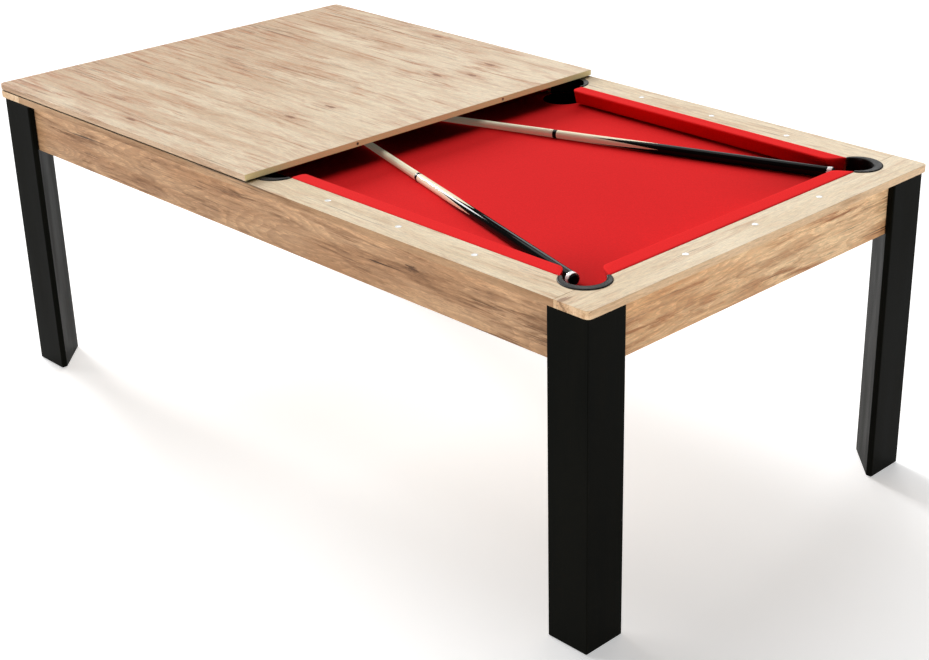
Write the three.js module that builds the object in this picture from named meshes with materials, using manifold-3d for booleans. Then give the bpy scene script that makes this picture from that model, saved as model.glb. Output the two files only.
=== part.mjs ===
// A 7 ft pool table that turns into a dining table, with two cues lying on its bed and one half of
// the dining top in place. Millimetres, +Z up, origin on the floor under the table's middle, +X along.
import * as THREE from "three";
import { mergeVertices } from "three/addons/utils/BufferGeometryUtils.js";
import Module from "manifold-3d";

const wasm = await Module();
wasm.setup();

// ---- Driving dimensions -------------------------------------------------------------------------
const LENGTH = 2130; // over the rails
const WIDTH = 1162;
const GAP = 0.3; // between pieces that touch

const FLOOR_GAP = 2; // the legs stand this far off the floor, on their feet
const RAIL_TOP = 788;
const RAIL_THICK = 18;
const RAIL_WIDTH = 92; // wood, from the outer edge to the cushion
const RAIL_CORNER = 14; // radius of the table's outer corners
const LINER_WIDTH = 20; // batten under the rail's inner edge, behind the cushion

const BED_DROP = 40; // rail top to cloth
const CLOTH_THICK = 1;
const BED_THICK = 18;

const NOSE = 134; // outer edge to cushion nose
const CUSHION_END = { corner: { back: 45, nose: 72 }, side: { back: 62, nose: 56 } };

const HALF_L = LENGTH / 2;
const HALF_W = WIDTH / 2;
const CORNER_HOLE = { x: 945, y: 461, radius: 44 };
const CORNER_RIM = { x: 951.5, y: 467, radius: 56, sweep: 107 };
const SIDE_HOLE = { x: 0, y: 476, radius: 51 };
const SIDE_RIM = { x: 0, y: 491, radius: 58, sweep: 86 };
const RIM_PROUD = 2.5; // pocket rim above the rail
const POCKET_WALL = 3.2;
const CUP_BOTTOM = 655;

const LEG_INSET = 8; // leg faces behind the rail edge
const LEG_SIDE = 111; // length of each outer face
const LEG_END = 15; // width of the narrow face at each end of the triangle
const FOOT = { at: 36, radius: 20, thick: 8, stud: 5, studTop: 60, clear: 1 };

const APRON_INSET = 27; // apron face behind the rail edge
const APRON_THICK = 18;
const APRON_BOTTOM = 640;
const LEDGE = { deep: 15, tall: 20, half: 400 }; // strip on the end aprons that carries the bed
const BEAM = { x: 330, wide: 45, tall: 60 };

const BRACKET = { thick: 3, flange: 34, bottom: 652, top: 724, bolts: [668, 706] };
const BOLT = { shank: 4, head: 7, headThick: 5, reach: 15 };

const PANEL_THICK = 15;
const PANEL_CUT = 5; // x of the half top's sawn edge
const PAD = { thick: 2.4, wide: 20, inset: 8 };
const DOWEL = { y: 245, radius: 3.5, depth: 22 };

const CUE = {
  length: 1436,
  buttRadius: 14,
  tipRadius: 6.5,
  bumper: 5,
  ring: 17,
  joint: 718,
  collar: 10,
  pinRadius: 4,
  pinLength: 24,
  ferrule: 1396,
  tip: 1422,
};
const CUES = [
  { name: "cue_1", x: 899.3, y: -439.8, heading: 163.3 },
  { name: "cue_2", x: 904.3, y: 442, heading: 197.9 },
];

// How many flat sides the round pieces are made with.
const SIDES = { pocket: 36, bedHole: 24, cup: 24, foot: 16, bolt: 10, dowel: 12, cue: 16 };
const RIM_STEPS = { outside: 20, inside: 15, end: 4 };

// ---- Levels worked out from them ----------------------------------------------------------------
const RAIL_BOTTOM = RAIL_TOP - RAIL_THICK;
const CLOTH_TOP = RAIL_TOP - BED_DROP;
const BED_TOP = CLOTH_TOP - CLOTH_THICK - GAP;
const BED_BOTTOM = BED_TOP - BED_THICK;
const LEG_TOP = RAIL_BOTTOM - GAP;
const PAD_BOTTOM = RAIL_TOP + GAP;
const PANEL_BOTTOM = PAD_BOTTOM + PAD.thick + GAP;
const LEG_SUM = LEG_SIDE + LEG_END; // x + y of the leg's sloping face, from its outer corner
const CORNERS = [
  { name: "back_right", sx: 1, sy: 1, turn: 0 },
  { name: "back_left", sx: -1, sy: 1, turn: 1 },
  { name: "front_left", sx: -1, sy: -1, turn: 2 },
  { name: "front_right", sx: 1, sy: -1, turn: 3 },
];

// ---- Materials ----------------------------------------------------------------------------------
const paint = (color, roughness, metalness = 0) =>
  new THREE.MeshStandardMaterial({ color, roughness, metalness });
const OAK = paint(0xdcc6a4, 0.55);
const DARK_OAK = paint(0xa57d5a, 0.6);
const CLOTH = paint(0xd8242a, 0.95);
const BLACK_LEG = paint(0x1c1c17, 0.4);
const BLACK_PLASTIC = paint(0x303030, 0.5);
const BOARD = paint(0x9c8465, 0.8);
const STEEL = paint(0x8a8d90, 0.35, 1);
const FELT = paint(0x3a3a3a, 0.95);
const MAPLE = paint(0xebe1c8, 0.35);
const IVORY = paint(0xf4f2ea, 0.3);
const LEATHER = paint(0x35506b, 0.9);
const RUBBER = paint(0x18181a, 0.85);

// ---- Geometry helpers ---------------------------------------------------------------------------
const radians = THREE.MathUtils.degToRad;

function solid(geometry) {
  const bare = geometry.clone();
  bare.deleteAttribute("normal");
  bare.deleteAttribute("uv");
  const merged = mergeVertices(bare, 1e-3);
  const vertProperties = merged.attributes.position.array;
  const triVerts = new Uint32Array(merged.index.array);
  return new wasm.Manifold(new wasm.Mesh({ numProp: 3, vertProperties, triVerts }));
}

function geometryOf(manifold) {
  const mesh = manifold.getMesh();
  const geometry = new THREE.BufferGeometry();
  geometry.setAttribute("position", new THREE.BufferAttribute(mesh.vertProperties, 3));
  geometry.setIndex(new THREE.BufferAttribute(mesh.triVerts, 1));
  const flat = geometry.toNonIndexed();
  flat.computeVertexNormals();
  return flat;
}

function joined(...geometries) {
  return geometryOf(geometries.map(solid).reduce((all, next) => all.add(next)));
}

function cut(geometry, ...tools) {
  return geometryOf(tools.map(solid).reduce((left, tool) => left.subtract(tool), solid(geometry)));
}

function box(x0, x1, y0, y1, z0, z1) {
  const geometry = new THREE.BoxGeometry(x1 - x0, y1 - y0, z1 - z0);
  return geometry.translate((x0 + x1) / 2, (y0 + y1) / 2, (z0 + z1) / 2);
}

function upright(x, y, radius, z0, z1, sides) {
  const geometry = new THREE.CylinderGeometry(radius, radius, z1 - z0, sides);
  return geometry.rotateX(Math.PI / 2).translate(x, y, (z0 + z1) / 2);
}

// A plan outline raised from z0 to z1, with its top and bottom edges bevelled when bevel is given.
function slab(outline, z0, z1, bevel = 0) {
  const geometry = new THREE.ExtrudeGeometry(outline, {
    depth: z1 - z0 - 2 * bevel,
    bevelEnabled: bevel > 0,
    bevelThickness: bevel,
    bevelSize: bevel,
    bevelOffset: -bevel,
    bevelSegments: 1,
  });
  return geometry.translate(0, 0, z0 + bevel);
}

// A closed outline through [x, y, radius] corners, each one rounded when its radius isn't 0.
function outlineOf(corners) {
  const points = corners.map(([x, y]) => new THREE.Vector2(x, y));
  const path = [];
  corners.forEach(([, , radius = 0], i) => {
    const corner = points[i];
    if (!radius) {
      path.push(corner);
      return;
    }
    const before = points.at(i - 1).clone().sub(corner).normalize();
    const after = points[(i + 1) % points.length].clone().sub(corner).normalize();
    const half = before.angleTo(after) / 2;
    const reach = radius / Math.tan(half);
    const start = corner.clone().addScaledVector(before, reach);
    const end = corner.clone().addScaledVector(after, reach);
    path.push(...new THREE.QuadraticBezierCurve(start, corner, end).getPoints(3));
  });
  return new THREE.Shape(path);
}

function arc(x, y, radius, from, to, steps) {
  return Array.from({ length: steps + 1 }, (_, i) => {
    const angle = radians(from + ((to - from) * i) / steps);
    return new THREE.Vector2(x + radius * Math.cos(angle), y + radius * Math.sin(angle));
  });
}

// A body of revolution about +Z through [radius, z] points that run up the outside.
function turned(profile, sides) {
  const points = profile.map(([radius, z]) => new THREE.Vector2(radius, z));
  return new THREE.LatheGeometry(points, sides).rotateX(Math.PI / 2);
}

// ---- The assembly -------------------------------------------------------------------------------
const table = new THREE.Group();

function add(name, geometry, material, parent = table) {
  const mesh = new THREE.Mesh(geometry, material);
  mesh.name = name;
  parent.add(mesh);
  return mesh;
}

// ---- Pockets: where they are, and what they cut -------------------------------------------------
const POCKETS = [
  ...CORNERS.map(({ name, sx, sy }) => ({
    name,
    sx,
    sy,
    hole: CORNER_HOLE,
    rim: CORNER_RIM,
    outward: 45,
  })),
  { name: "back_middle", sx: 1, sy: 1, hole: SIDE_HOLE, rim: SIDE_RIM, outward: 90 },
  { name: "front_middle", sx: 1, sy: -1, hole: SIDE_HOLE, rim: SIDE_RIM, outward: 90 },
];

function pocketCuts() {
  return POCKETS.map(({ sx, sy, rim }) =>
    upright(sx * rim.x, sy * rim.y, rim.radius + GAP, CLOTH_TOP - 5, RAIL_TOP + 5, SIDES.pocket),
  );
}

// Where the ray from the outer circle's centre meets the inner circle, as an angle about the latter.
function innerAngle(outer, inner, angle) {
  const ray = new THREE.Vector2(Math.cos(radians(angle)), Math.sin(radians(angle)));
  const offset = new THREE.Vector2(outer.x - inner.x, outer.y - inner.y);
  const b = offset.dot(ray);
  const reach = -b + Math.sqrt(b * b - offset.lengthSq() + inner.radius ** 2);
  const hit = offset.addScaledVector(ray, reach);
  const turn = THREE.MathUtils.radToDeg(Math.atan2(hit.y, hit.x));
  return turn + 360 * Math.round((angle - turn) / 360);
}

// A crescent with round ends between an outer and an inner circle, in the +X +Y quarter.
function crescent(outer, inner, outward, sweep) {
  const [from, to] = [outward - sweep, outward + sweep];
  const [innerFrom, innerTo] = [from, to].map((angle) => innerAngle(outer, inner, angle));
  const outside = arc(outer.x, outer.y, outer.radius, from, to, RIM_STEPS.outside);
  const inside = arc(inner.x, inner.y, inner.radius, innerTo, innerFrom, RIM_STEPS.inside);
  const roundEnd = (a, b) => {
    const middle = a.clone().add(b).multiplyScalar(0.5);
    const start = THREE.MathUtils.radToDeg(a.clone().sub(middle).angle());
    const end = arc(middle.x, middle.y, a.distanceTo(b) / 2, start, start + 180, RIM_STEPS.end);
    return end.slice(1, -1);
  };
  return [
    ...outside,
    ...roundEnd(outside.at(-1), inside[0]),
    ...inside,
    ...roundEnd(inside.at(-1), outside[0]),
  ];
}

function placed(points, sx, sy) {
  return new THREE.Shape(points.map((p) => new THREE.Vector2(sx * p.x, sy * p.y)));
}

function pocketRim({ name, sx, sy, hole, rim, outward }) {
  const lip = crescent(rim, hole, outward, rim.sweep);
  const skirtOuter = { ...hole, radius: hole.radius + POCKET_WALL };
  const skirt = crescent(skirtOuter, hole, outward, rim.sweep - 6);
  const top = slab(placed(lip, sx, sy), RAIL_BOTTOM, RAIL_TOP + RIM_PROUD, RIM_PROUD);
  const wall = slab(placed(skirt, sx, sy), CLOTH_TOP + GAP, RAIL_BOTTOM + 8);
  add("pocket_rim_" + name, joined(top, wall), BLACK_PLASTIC);
}

function pocketCup({ name, sx, sy, hole }) {
  const outer = hole.radius + POCKET_WALL;
  const floor = outer - 8;
  const profile = [
    [0, CUP_BOTTOM],
    [floor - 6, CUP_BOTTOM],
    [floor, CUP_BOTTOM + 8],
    [outer, CLOTH_TOP],
    [hole.radius, CLOTH_TOP],
    [floor - 6, CUP_BOTTOM + POCKET_WALL],
    [0, CUP_BOTTOM + POCKET_WALL],
  ];
  const cup = turned(profile, SIDES.cup).translate(sx * hole.x, sy * hole.y, 0);
  add("pocket_cup_" + name, cup, BLACK_PLASTIC);
}

POCKETS.forEach(pocketRim);
POCKETS.forEach(pocketCup);

// ---- Rails: a flat board with a batten fused under its inner edge -------------------------------
const endRailInner = HALF_L - RAIL_WIDTH;
const longRailInner = HALF_W - RAIL_WIDTH;
const linerBottom = CLOTH_TOP + GAP;

function longRail(name, side) {
  const reach = endRailInner - GAP;
  const inner = side * longRailInner;
  const outer = side * HALF_W;
  const liner = side * (longRailInner + LINER_WIDTH);
  const [y0, y1] = [inner, outer].sort((a, b) => a - b);
  const [l0, l1] = [inner, liner].sort((a, b) => a - b);
  const board = box(-reach, reach, y0, y1, RAIL_BOTTOM, RAIL_TOP);
  const batten = box(-CORNER_HOLE.x, CORNER_HOLE.x, l0, l1, linerBottom, RAIL_BOTTOM + 2);
  add(name, cut(joined(board, batten), ...pocketCuts()), OAK);
}

function endRail(name, side) {
  const outline = outlineOf([
    [endRailInner, -HALF_W],
    [HALF_L, -HALF_W, RAIL_CORNER],
    [HALF_L, HALF_W, RAIL_CORNER],
    [endRailInner, HALF_W],
  ]);
  const board = slab(outline, RAIL_BOTTOM, RAIL_TOP);
  const reach = CORNER_HOLE.y - CORNER_HOLE.radius;
  const batten = box(
    endRailInner,
    endRailInner + LINER_WIDTH,
    -reach,
    reach,
    linerBottom,
    RAIL_BOTTOM + 2,
  );
  const rail = joined(board, batten).rotateZ(side > 0 ? 0 : Math.PI);
  add(name, cut(rail, ...pocketCuts()), OAK);
}

longRail("long_rail_back", 1);
longRail("long_rail_front", -1);
endRail("end_rail_right", 1);
endRail("end_rail_left", -1);

// ---- Cushions: a nosed rubber section, cut at an angle at each pocket mouth ---------------------
// Section points: distance from the table's outer edge, and height.
const CUSHION_SECTION = [
  [RAIL_WIDTH + GAP, CLOTH_TOP + 6],
  [NOSE - 12, CLOTH_TOP + 6],
  [NOSE - 3, RAIL_TOP - 13],
  [NOSE, RAIL_TOP - 6],
  [NOSE - 1, RAIL_TOP - 2],
  [NOSE - 4, RAIL_TOP],
  [RAIL_WIDTH + GAP, RAIL_TOP],
];

// Made along +X against a rail whose outer edge is at y = -half, then turned into place.
// from and to give each end's position at the cushion's back and at its nose.
function cushion(name, half, quarterTurns, from, to) {
  const outline = new THREE.Shape(CUSHION_SECTION.map(([d, z]) => new THREE.Vector2(d, z)));
  const geometry = new THREE.ExtrudeGeometry(outline, { depth: 1, bevelEnabled: false });
  const position = geometry.attributes.position;
  const endAt = (end, d) => THREE.MathUtils.mapLinear(d, RAIL_WIDTH, NOSE, end.back, end.nose);
  for (let i = 0; i < position.count; i += 1) {
    const distance = position.getX(i);
    const height = position.getY(i);
    const along = endAt(position.getZ(i) > 0.5 ? to : from, distance);
    position.setXYZ(i, along, distance - half, height);
  }
  geometry.rotateZ((quarterTurns * Math.PI) / 2);
  add(name, geometry, CLOTH);
}

const { corner: cornerEnd, side: sideEnd } = CUSHION_END;
const longEnd = {
  back: CORNER_HOLE.x - cornerEnd.back,
  nose: CORNER_HOLE.x - cornerEnd.nose,
};
const shortEnd = {
  back: CORNER_HOLE.y - cornerEnd.back,
  nose: CORNER_HOLE.y - cornerEnd.nose,
};
const negative = ({ back, nose }) => ({ back: -back, nose: -nose });
cushion("cushion_front_right", HALF_W, 0, sideEnd, longEnd);
cushion("cushion_front_left", HALF_W, 0, negative(longEnd), negative(sideEnd));
cushion("cushion_back_left", HALF_W, 2, sideEnd, longEnd);
cushion("cushion_back_right", HALF_W, 2, negative(longEnd), negative(sideEnd));
cushion("cushion_end_right", HALF_L, 1, negative(shortEnd), shortEnd);
cushion("cushion_end_left", HALF_L, 3, negative(shortEnd), shortEnd);

// ---- Bed: the board, and the cloth stretched over it --------------------------------------------
function bedLayer(halfX, halfY, diagonal, z0, z1) {
  const clipX = diagonal - halfY;
  const clipY = diagonal - halfX;
  const outline = outlineOf([
    [halfX, -clipY],
    [halfX, clipY],
    [clipX, halfY],
    [-clipX, halfY],
    [-halfX, clipY],
    [-halfX, -clipY],
    [-clipX, -halfY],
    [clipX, -halfY],
  ]);
  const holes = POCKETS.map(({ sx, sy, hole }) =>
    upright(sx * hole.x, sy * hole.y, hole.radius + POCKET_WALL + GAP, z0 - 5, z1 + 5, SIDES.bedHole),
  );
  return cut(slab(outline, z0, z1), ...holes);
}

const apronInnerX = HALF_L - APRON_INSET - APRON_THICK;
const apronInnerY = HALF_W - APRON_INSET - APRON_THICK;
const legDiagonal = HALF_L + HALF_W - 2 * LEG_INSET - LEG_SUM; // |x| + |y| of the legs' sloping face
const board = [apronInnerX - GAP, apronInnerY - GAP, legDiagonal - 1, BED_BOTTOM, BED_TOP];
const clothX = endRailInner + LINER_WIDTH;
const clothY = longRailInner + LINER_WIDTH;
add("bed_board", bedLayer(...board), BOARD);
add("bed_cloth", bedLayer(clothX, clothY, legDiagonal - 10, BED_TOP + GAP, CLOTH_TOP), CLOTH);

// ---- Aprons, mitred on the legs' sloping faces, and the beams under the bed ---------------------
const apronDiagonal = legDiagonal - 2 * GAP;

function apronOutline(inner, outer) {
  return new THREE.Shape(
    [
      [-(apronDiagonal - inner), inner],
      [apronDiagonal - inner, inner],
      [apronDiagonal - outer, outer],
      [-(apronDiagonal - outer), outer],
    ].map(([x, y]) => new THREE.Vector2(x, y)),
  );
}

function apron(name, inner, quarterTurns, ledge) {
  const board = slab(apronOutline(inner, inner + APRON_THICK), APRON_BOTTOM, LEG_TOP);
  const strip = () => {
    const top = BED_BOTTOM - GAP;
    return box(-ledge.half, ledge.half, inner - ledge.deep, inner + 1, top - ledge.tall, top);
  };
  const geometry = ledge ? joined(board, strip()) : board;
  add(name, geometry.rotateZ((quarterTurns * Math.PI) / 2), DARK_OAK);
}

apron("apron_back", apronInnerY, 0);
apron("apron_front", apronInnerY, 2);
apron("apron_right", apronInnerX, 3, LEDGE);
apron("apron_left", apronInnerX, 1, LEDGE);

function crossBeam(name, side) {
  const top = BED_BOTTOM - GAP;
  const [x0, x1] = [side * BEAM.x - BEAM.wide / 2, side * BEAM.x + BEAM.wide / 2];
  const reach = apronInnerY - GAP;
  add(name, box(x0, x1, -reach, reach, top - BEAM.tall, top), BOARD);
}

crossBeam("cross_beam_right", 1);
crossBeam("cross_beam_left", -1);

// ---- Legs, levelling feet and corner brackets ---------------------------------------------------
// All three are made from the leg's outer corner at (0, 0), with the leg towards -X and -Y.
function boltAlongDiagonal(z, radius, from, to) {
  const middle = (from + to) / 2 / Math.SQRT2;
  const geometry = new THREE.CylinderGeometry(radius, radius, to - from, SIDES.bolt);
  return geometry.rotateZ(-Math.PI / 4).translate(middle, middle, z);
}

const slopeDistance = -LEG_SUM / Math.SQRT2; // of the sloping face, along the corner's diagonal

function legGeometry() {
  const body = outlineOf([
    [0, -LEG_SIDE, 4],
    [0, 0, 2],
    [-LEG_SIDE, 0, 4],
    [-LEG_SIDE, -LEG_END, 4],
    [-LEG_END, -LEG_SIDE, 4],
  ]);
  const boltHoles = BRACKET.bolts.map((z) =>
    boltAlongDiagonal(z, BOLT.shank + GAP, slopeDistance - 5, slopeDistance + BOLT.reach + 1),
  );
  return cut(
    slab(body, FLOOR_GAP, LEG_TOP),
    upright(-FOOT.at, -FOOT.at, FOOT.radius + FOOT.clear, 0, FOOT.thick + GAP, SIDES.foot),
    upright(-FOOT.at, -FOOT.at, FOOT.stud + GAP, 0, FOOT.studTop + GAP, SIDES.foot),
    ...boltHoles,
  );
}

function footGeometry() {
  const profile = [
    [0, 0],
    [FOOT.radius - 1.5, 0],
    [FOOT.radius, 1.5],
    [FOOT.radius, FOOT.thick],
    [FOOT.stud, FOOT.thick],
    [FOOT.stud, FOOT.studTop],
    [0, FOOT.studTop],
  ];
  return turned(profile, SIDES.foot).translate(-FOOT.at, -FOOT.at, 0);
}

function bracketGeometry() {
  const face = apronInnerY - (HALF_W - LEG_INSET) - GAP; // the aprons' inner faces, from the corner
  const near = -LEG_SUM - GAP * 2;
  const far = near - BRACKET.thick * Math.SQRT2;
  const inside = face - BRACKET.thick;
  const plan = new THREE.Shape(
    [
      [face, near - face],
      [near - face, face],
      [near - face - BRACKET.flange, face],
      [near - face - BRACKET.flange, inside],
      [far - inside, inside],
      [inside, far - inside],
      [inside, near - face - BRACKET.flange],
      [face, near - face - BRACKET.flange],
    ].map(([x, y]) => new THREE.Vector2(x, y)),
  );
  const plate = slab(plan, BRACKET.bottom, BRACKET.top);
  const back = far / Math.SQRT2;
  const bolts = BRACKET.bolts.flatMap((z) => [
    boltAlongDiagonal(z, BOLT.shank, back, slopeDistance + BOLT.reach),
    boltAlongDiagonal(z, BOLT.head, back - BOLT.headThick, back + 1),
  ]);
  return joined(plate, ...bolts);
}

CORNERS.forEach(({ name, sx, sy, turn }) => {
  const corner = new THREE.Group();
  corner.position.set(sx * (HALF_L - LEG_INSET), sy * (HALF_W - LEG_INSET), 0);
  corner.rotation.z = (turn * Math.PI) / 2;
  table.add(corner);
  add("leg_" + name, legGeometry(), BLACK_LEG, corner);
  add("foot_" + name, footGeometry(), BLACK_PLASTIC, corner);
  add("bracket_" + name, bracketGeometry(), STEEL, corner);
});

// ---- Half of the dining top, on two felt strips -------------------------------------------------
function diningTop() {
  const top = PANEL_BOTTOM + PANEL_THICK;
  const outline = outlineOf([
    [-HALF_L, HALF_W, RAIL_CORNER],
    [-HALF_L, -HALF_W, RAIL_CORNER],
    [PANEL_CUT, -HALF_W],
    [PANEL_CUT, HALF_W],
  ]);
  const dowelHoles = [-DOWEL.y, DOWEL.y].map((y) => {
    const hole = new THREE.CylinderGeometry(DOWEL.radius, DOWEL.radius, DOWEL.depth * 2, SIDES.dowel);
    return hole.rotateZ(Math.PI / 2).translate(PANEL_CUT, y, PANEL_BOTTOM + PANEL_THICK / 2);
  });
  add("dining_top", cut(slab(outline, PANEL_BOTTOM, top), ...dowelHoles), OAK);
}

function feltStrip(name, side) {
  const outer = HALF_W - PAD.inset;
  const [y0, y1] = side > 0 ? [outer - PAD.wide, outer] : [-outer, PAD.wide - outer];
  const x0 = PAD.inset - HALF_L;
  add(name, box(x0, PANEL_CUT - PAD.inset, y0, y1, PAD_BOTTOM, PAD_BOTTOM + PAD.thick), FELT);
}

diningTop();
feltStrip("felt_strip_back", 1);
feltStrip("felt_strip_front", -1);

// ---- Cues: butt and shaft, joined by a pin, lying on the cloth ----------------------------------
const cueTaper = (CUE.buttRadius - CUE.tipRadius) / CUE.length;
const cueRadius = (s) => CUE.buttRadius - cueTaper * s;
const cueTilt = Math.asin(cueTaper);

function cueLength(from, to) {
  const profile = [
    [0, from],
    [cueRadius(from), from],
    [cueRadius(to), to],
    [0, to],
  ];
  return turned(profile, SIDES.cue);
}

function cuePieces() {
  const bumper = turned(
    [
      [0, 0],
      [cueRadius(0) - 4, 0],
      [cueRadius(0) - 1.2, 1.5],
      [cueRadius(4), 4],
      [cueRadius(CUE.bumper), CUE.bumper],
      [0, CUE.bumper],
    ],
    SIDES.cue,
  );
  const pinEnd = CUE.joint + CUE.collar + CUE.pinLength;
  const collar = turned(
    [
      [0, CUE.joint],
      [cueRadius(CUE.joint), CUE.joint],
      [cueRadius(CUE.joint + CUE.collar), CUE.joint + CUE.collar],
      [CUE.pinRadius, CUE.joint + CUE.collar],
      [CUE.pinRadius, pinEnd],
      [0, pinEnd],
    ],
    SIDES.cue,
  );
  const shaftStart = CUE.joint + CUE.collar + GAP;
  const shaft = turned(
    [
      [0, pinEnd + 2],
      [CUE.pinRadius + GAP, pinEnd + 2],
      [CUE.pinRadius + GAP, shaftStart],
      [cueRadius(shaftStart), shaftStart],
      [cueRadius(CUE.ferrule), CUE.ferrule],
      [0, CUE.ferrule],
    ],
    SIDES.cue,
  );
  const tip = turned(
    [
      [0, CUE.tip + GAP],
      [cueRadius(CUE.tip), CUE.tip + GAP],
      [cueRadius(CUE.tip), CUE.length - 6],
      [CUE.tipRadius * 0.7, CUE.length - 1.5],
      [0, CUE.length],
    ],
    SIDES.cue,
  );
  return [
    ["bumper", bumper, RUBBER],
    ["butt_ring", cueLength(CUE.bumper + GAP, CUE.ring), IVORY],
    ["butt", cueLength(CUE.ring + GAP, CUE.joint - GAP), MAPLE],
    ["joint_collar", collar, RUBBER],
    ["shaft", shaft, MAPLE],
    ["ferrule", cueLength(CUE.ferrule + GAP, CUE.tip), IVORY],
    ["tip", tip, LEATHER],
  ];
}

CUES.forEach(({ name, x, y, heading }) => {
  const flat = Math.cos(cueTilt);
  const turn = radians(heading);
  const along = new THREE.Vector3(
    Math.cos(turn) * flat,
    Math.sin(turn) * flat,
    -Math.sin(cueTilt),
  );
  const cue = new THREE.Group();
  cue.position.set(x, y, CLOTH_TOP + GAP + CUE.buttRadius * flat);
  cue.quaternion.setFromUnitVectors(new THREE.Vector3(0, 0, 1), along);
  table.add(cue);
  cuePieces().forEach(([piece, geometry, material]) => {
    add(name + "_" + piece, geometry, material, cue);
  });
});

export default table;
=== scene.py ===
"""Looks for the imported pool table: finer pieces, materials, studio and camera, in the CAD frame."""

import math
import random

import bmesh
import bpy
from mathutils import Matrix, Vector, geometry, noise


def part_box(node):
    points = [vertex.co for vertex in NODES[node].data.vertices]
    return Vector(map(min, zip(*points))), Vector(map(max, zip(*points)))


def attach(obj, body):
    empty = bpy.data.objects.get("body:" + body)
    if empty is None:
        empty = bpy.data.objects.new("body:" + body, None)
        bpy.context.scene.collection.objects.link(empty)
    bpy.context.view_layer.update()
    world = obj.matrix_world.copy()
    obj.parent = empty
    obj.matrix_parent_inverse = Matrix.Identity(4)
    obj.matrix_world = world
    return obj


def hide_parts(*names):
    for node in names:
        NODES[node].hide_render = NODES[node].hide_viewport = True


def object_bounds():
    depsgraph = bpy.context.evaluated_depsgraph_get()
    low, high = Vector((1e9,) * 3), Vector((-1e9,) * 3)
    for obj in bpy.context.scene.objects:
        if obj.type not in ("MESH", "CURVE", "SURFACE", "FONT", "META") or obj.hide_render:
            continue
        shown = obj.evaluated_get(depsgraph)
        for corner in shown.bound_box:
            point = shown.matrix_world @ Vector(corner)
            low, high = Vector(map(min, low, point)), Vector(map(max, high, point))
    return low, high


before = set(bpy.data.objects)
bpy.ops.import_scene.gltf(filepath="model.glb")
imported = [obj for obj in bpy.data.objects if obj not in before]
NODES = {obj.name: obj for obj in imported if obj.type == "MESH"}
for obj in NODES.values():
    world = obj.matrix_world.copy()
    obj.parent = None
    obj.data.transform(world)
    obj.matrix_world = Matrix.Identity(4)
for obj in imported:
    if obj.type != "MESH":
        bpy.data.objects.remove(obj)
cad_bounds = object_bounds()

MM = 0.001
UP = Vector((0, 0, 1))


# ---- Camera ------------------------------------------------------------------------------------
# The photo's viewpoint, solved from the table's own right angles.
CAMERA_PLACE = Vector((3.0912, -2.7905, 2.1240))
CAMERA_LOOK = Vector((-0.63520, 0.64921, -0.41839))
CAMERA_UP = Vector((-0.28657, 0.30494, 0.90824))
CAMERA_LENS = 67.40
CAMERA_SENSOR = 36
CAMERA_SHIFT = (-0.0782, 0.0046)
CAMERA_REACH = (0.1, 100)


def make_camera():
    data = bpy.data.cameras.new("camera")
    data.lens = CAMERA_LENS
    data.sensor_width = CAMERA_SENSOR
    data.shift_x, data.shift_y = CAMERA_SHIFT
    data.clip_start, data.clip_end = CAMERA_REACH
    camera = bpy.data.objects.new("camera", data)
    bpy.context.scene.collection.objects.link(camera)
    back = -CAMERA_LOOK.normalized()
    right = CAMERA_UP.cross(back).normalized()
    turn = Matrix((right, back.cross(right), back)).transposed()
    camera.matrix_world = Matrix.Translation(CAMERA_PLACE) @ turn.to_4x4()
    bpy.context.scene.camera = camera


# ---- Material helpers --------------------------------------------------------------------------
def linear(red, green, blue):
    """A linear colour from 0-255 screen values."""
    parts = [c / 255 for c in (red, green, blue)]
    return (*(p / 12.92 if p <= 0.04045 else ((p + 0.055) / 1.055) ** 2.4 for p in parts), 1.0)


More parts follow.
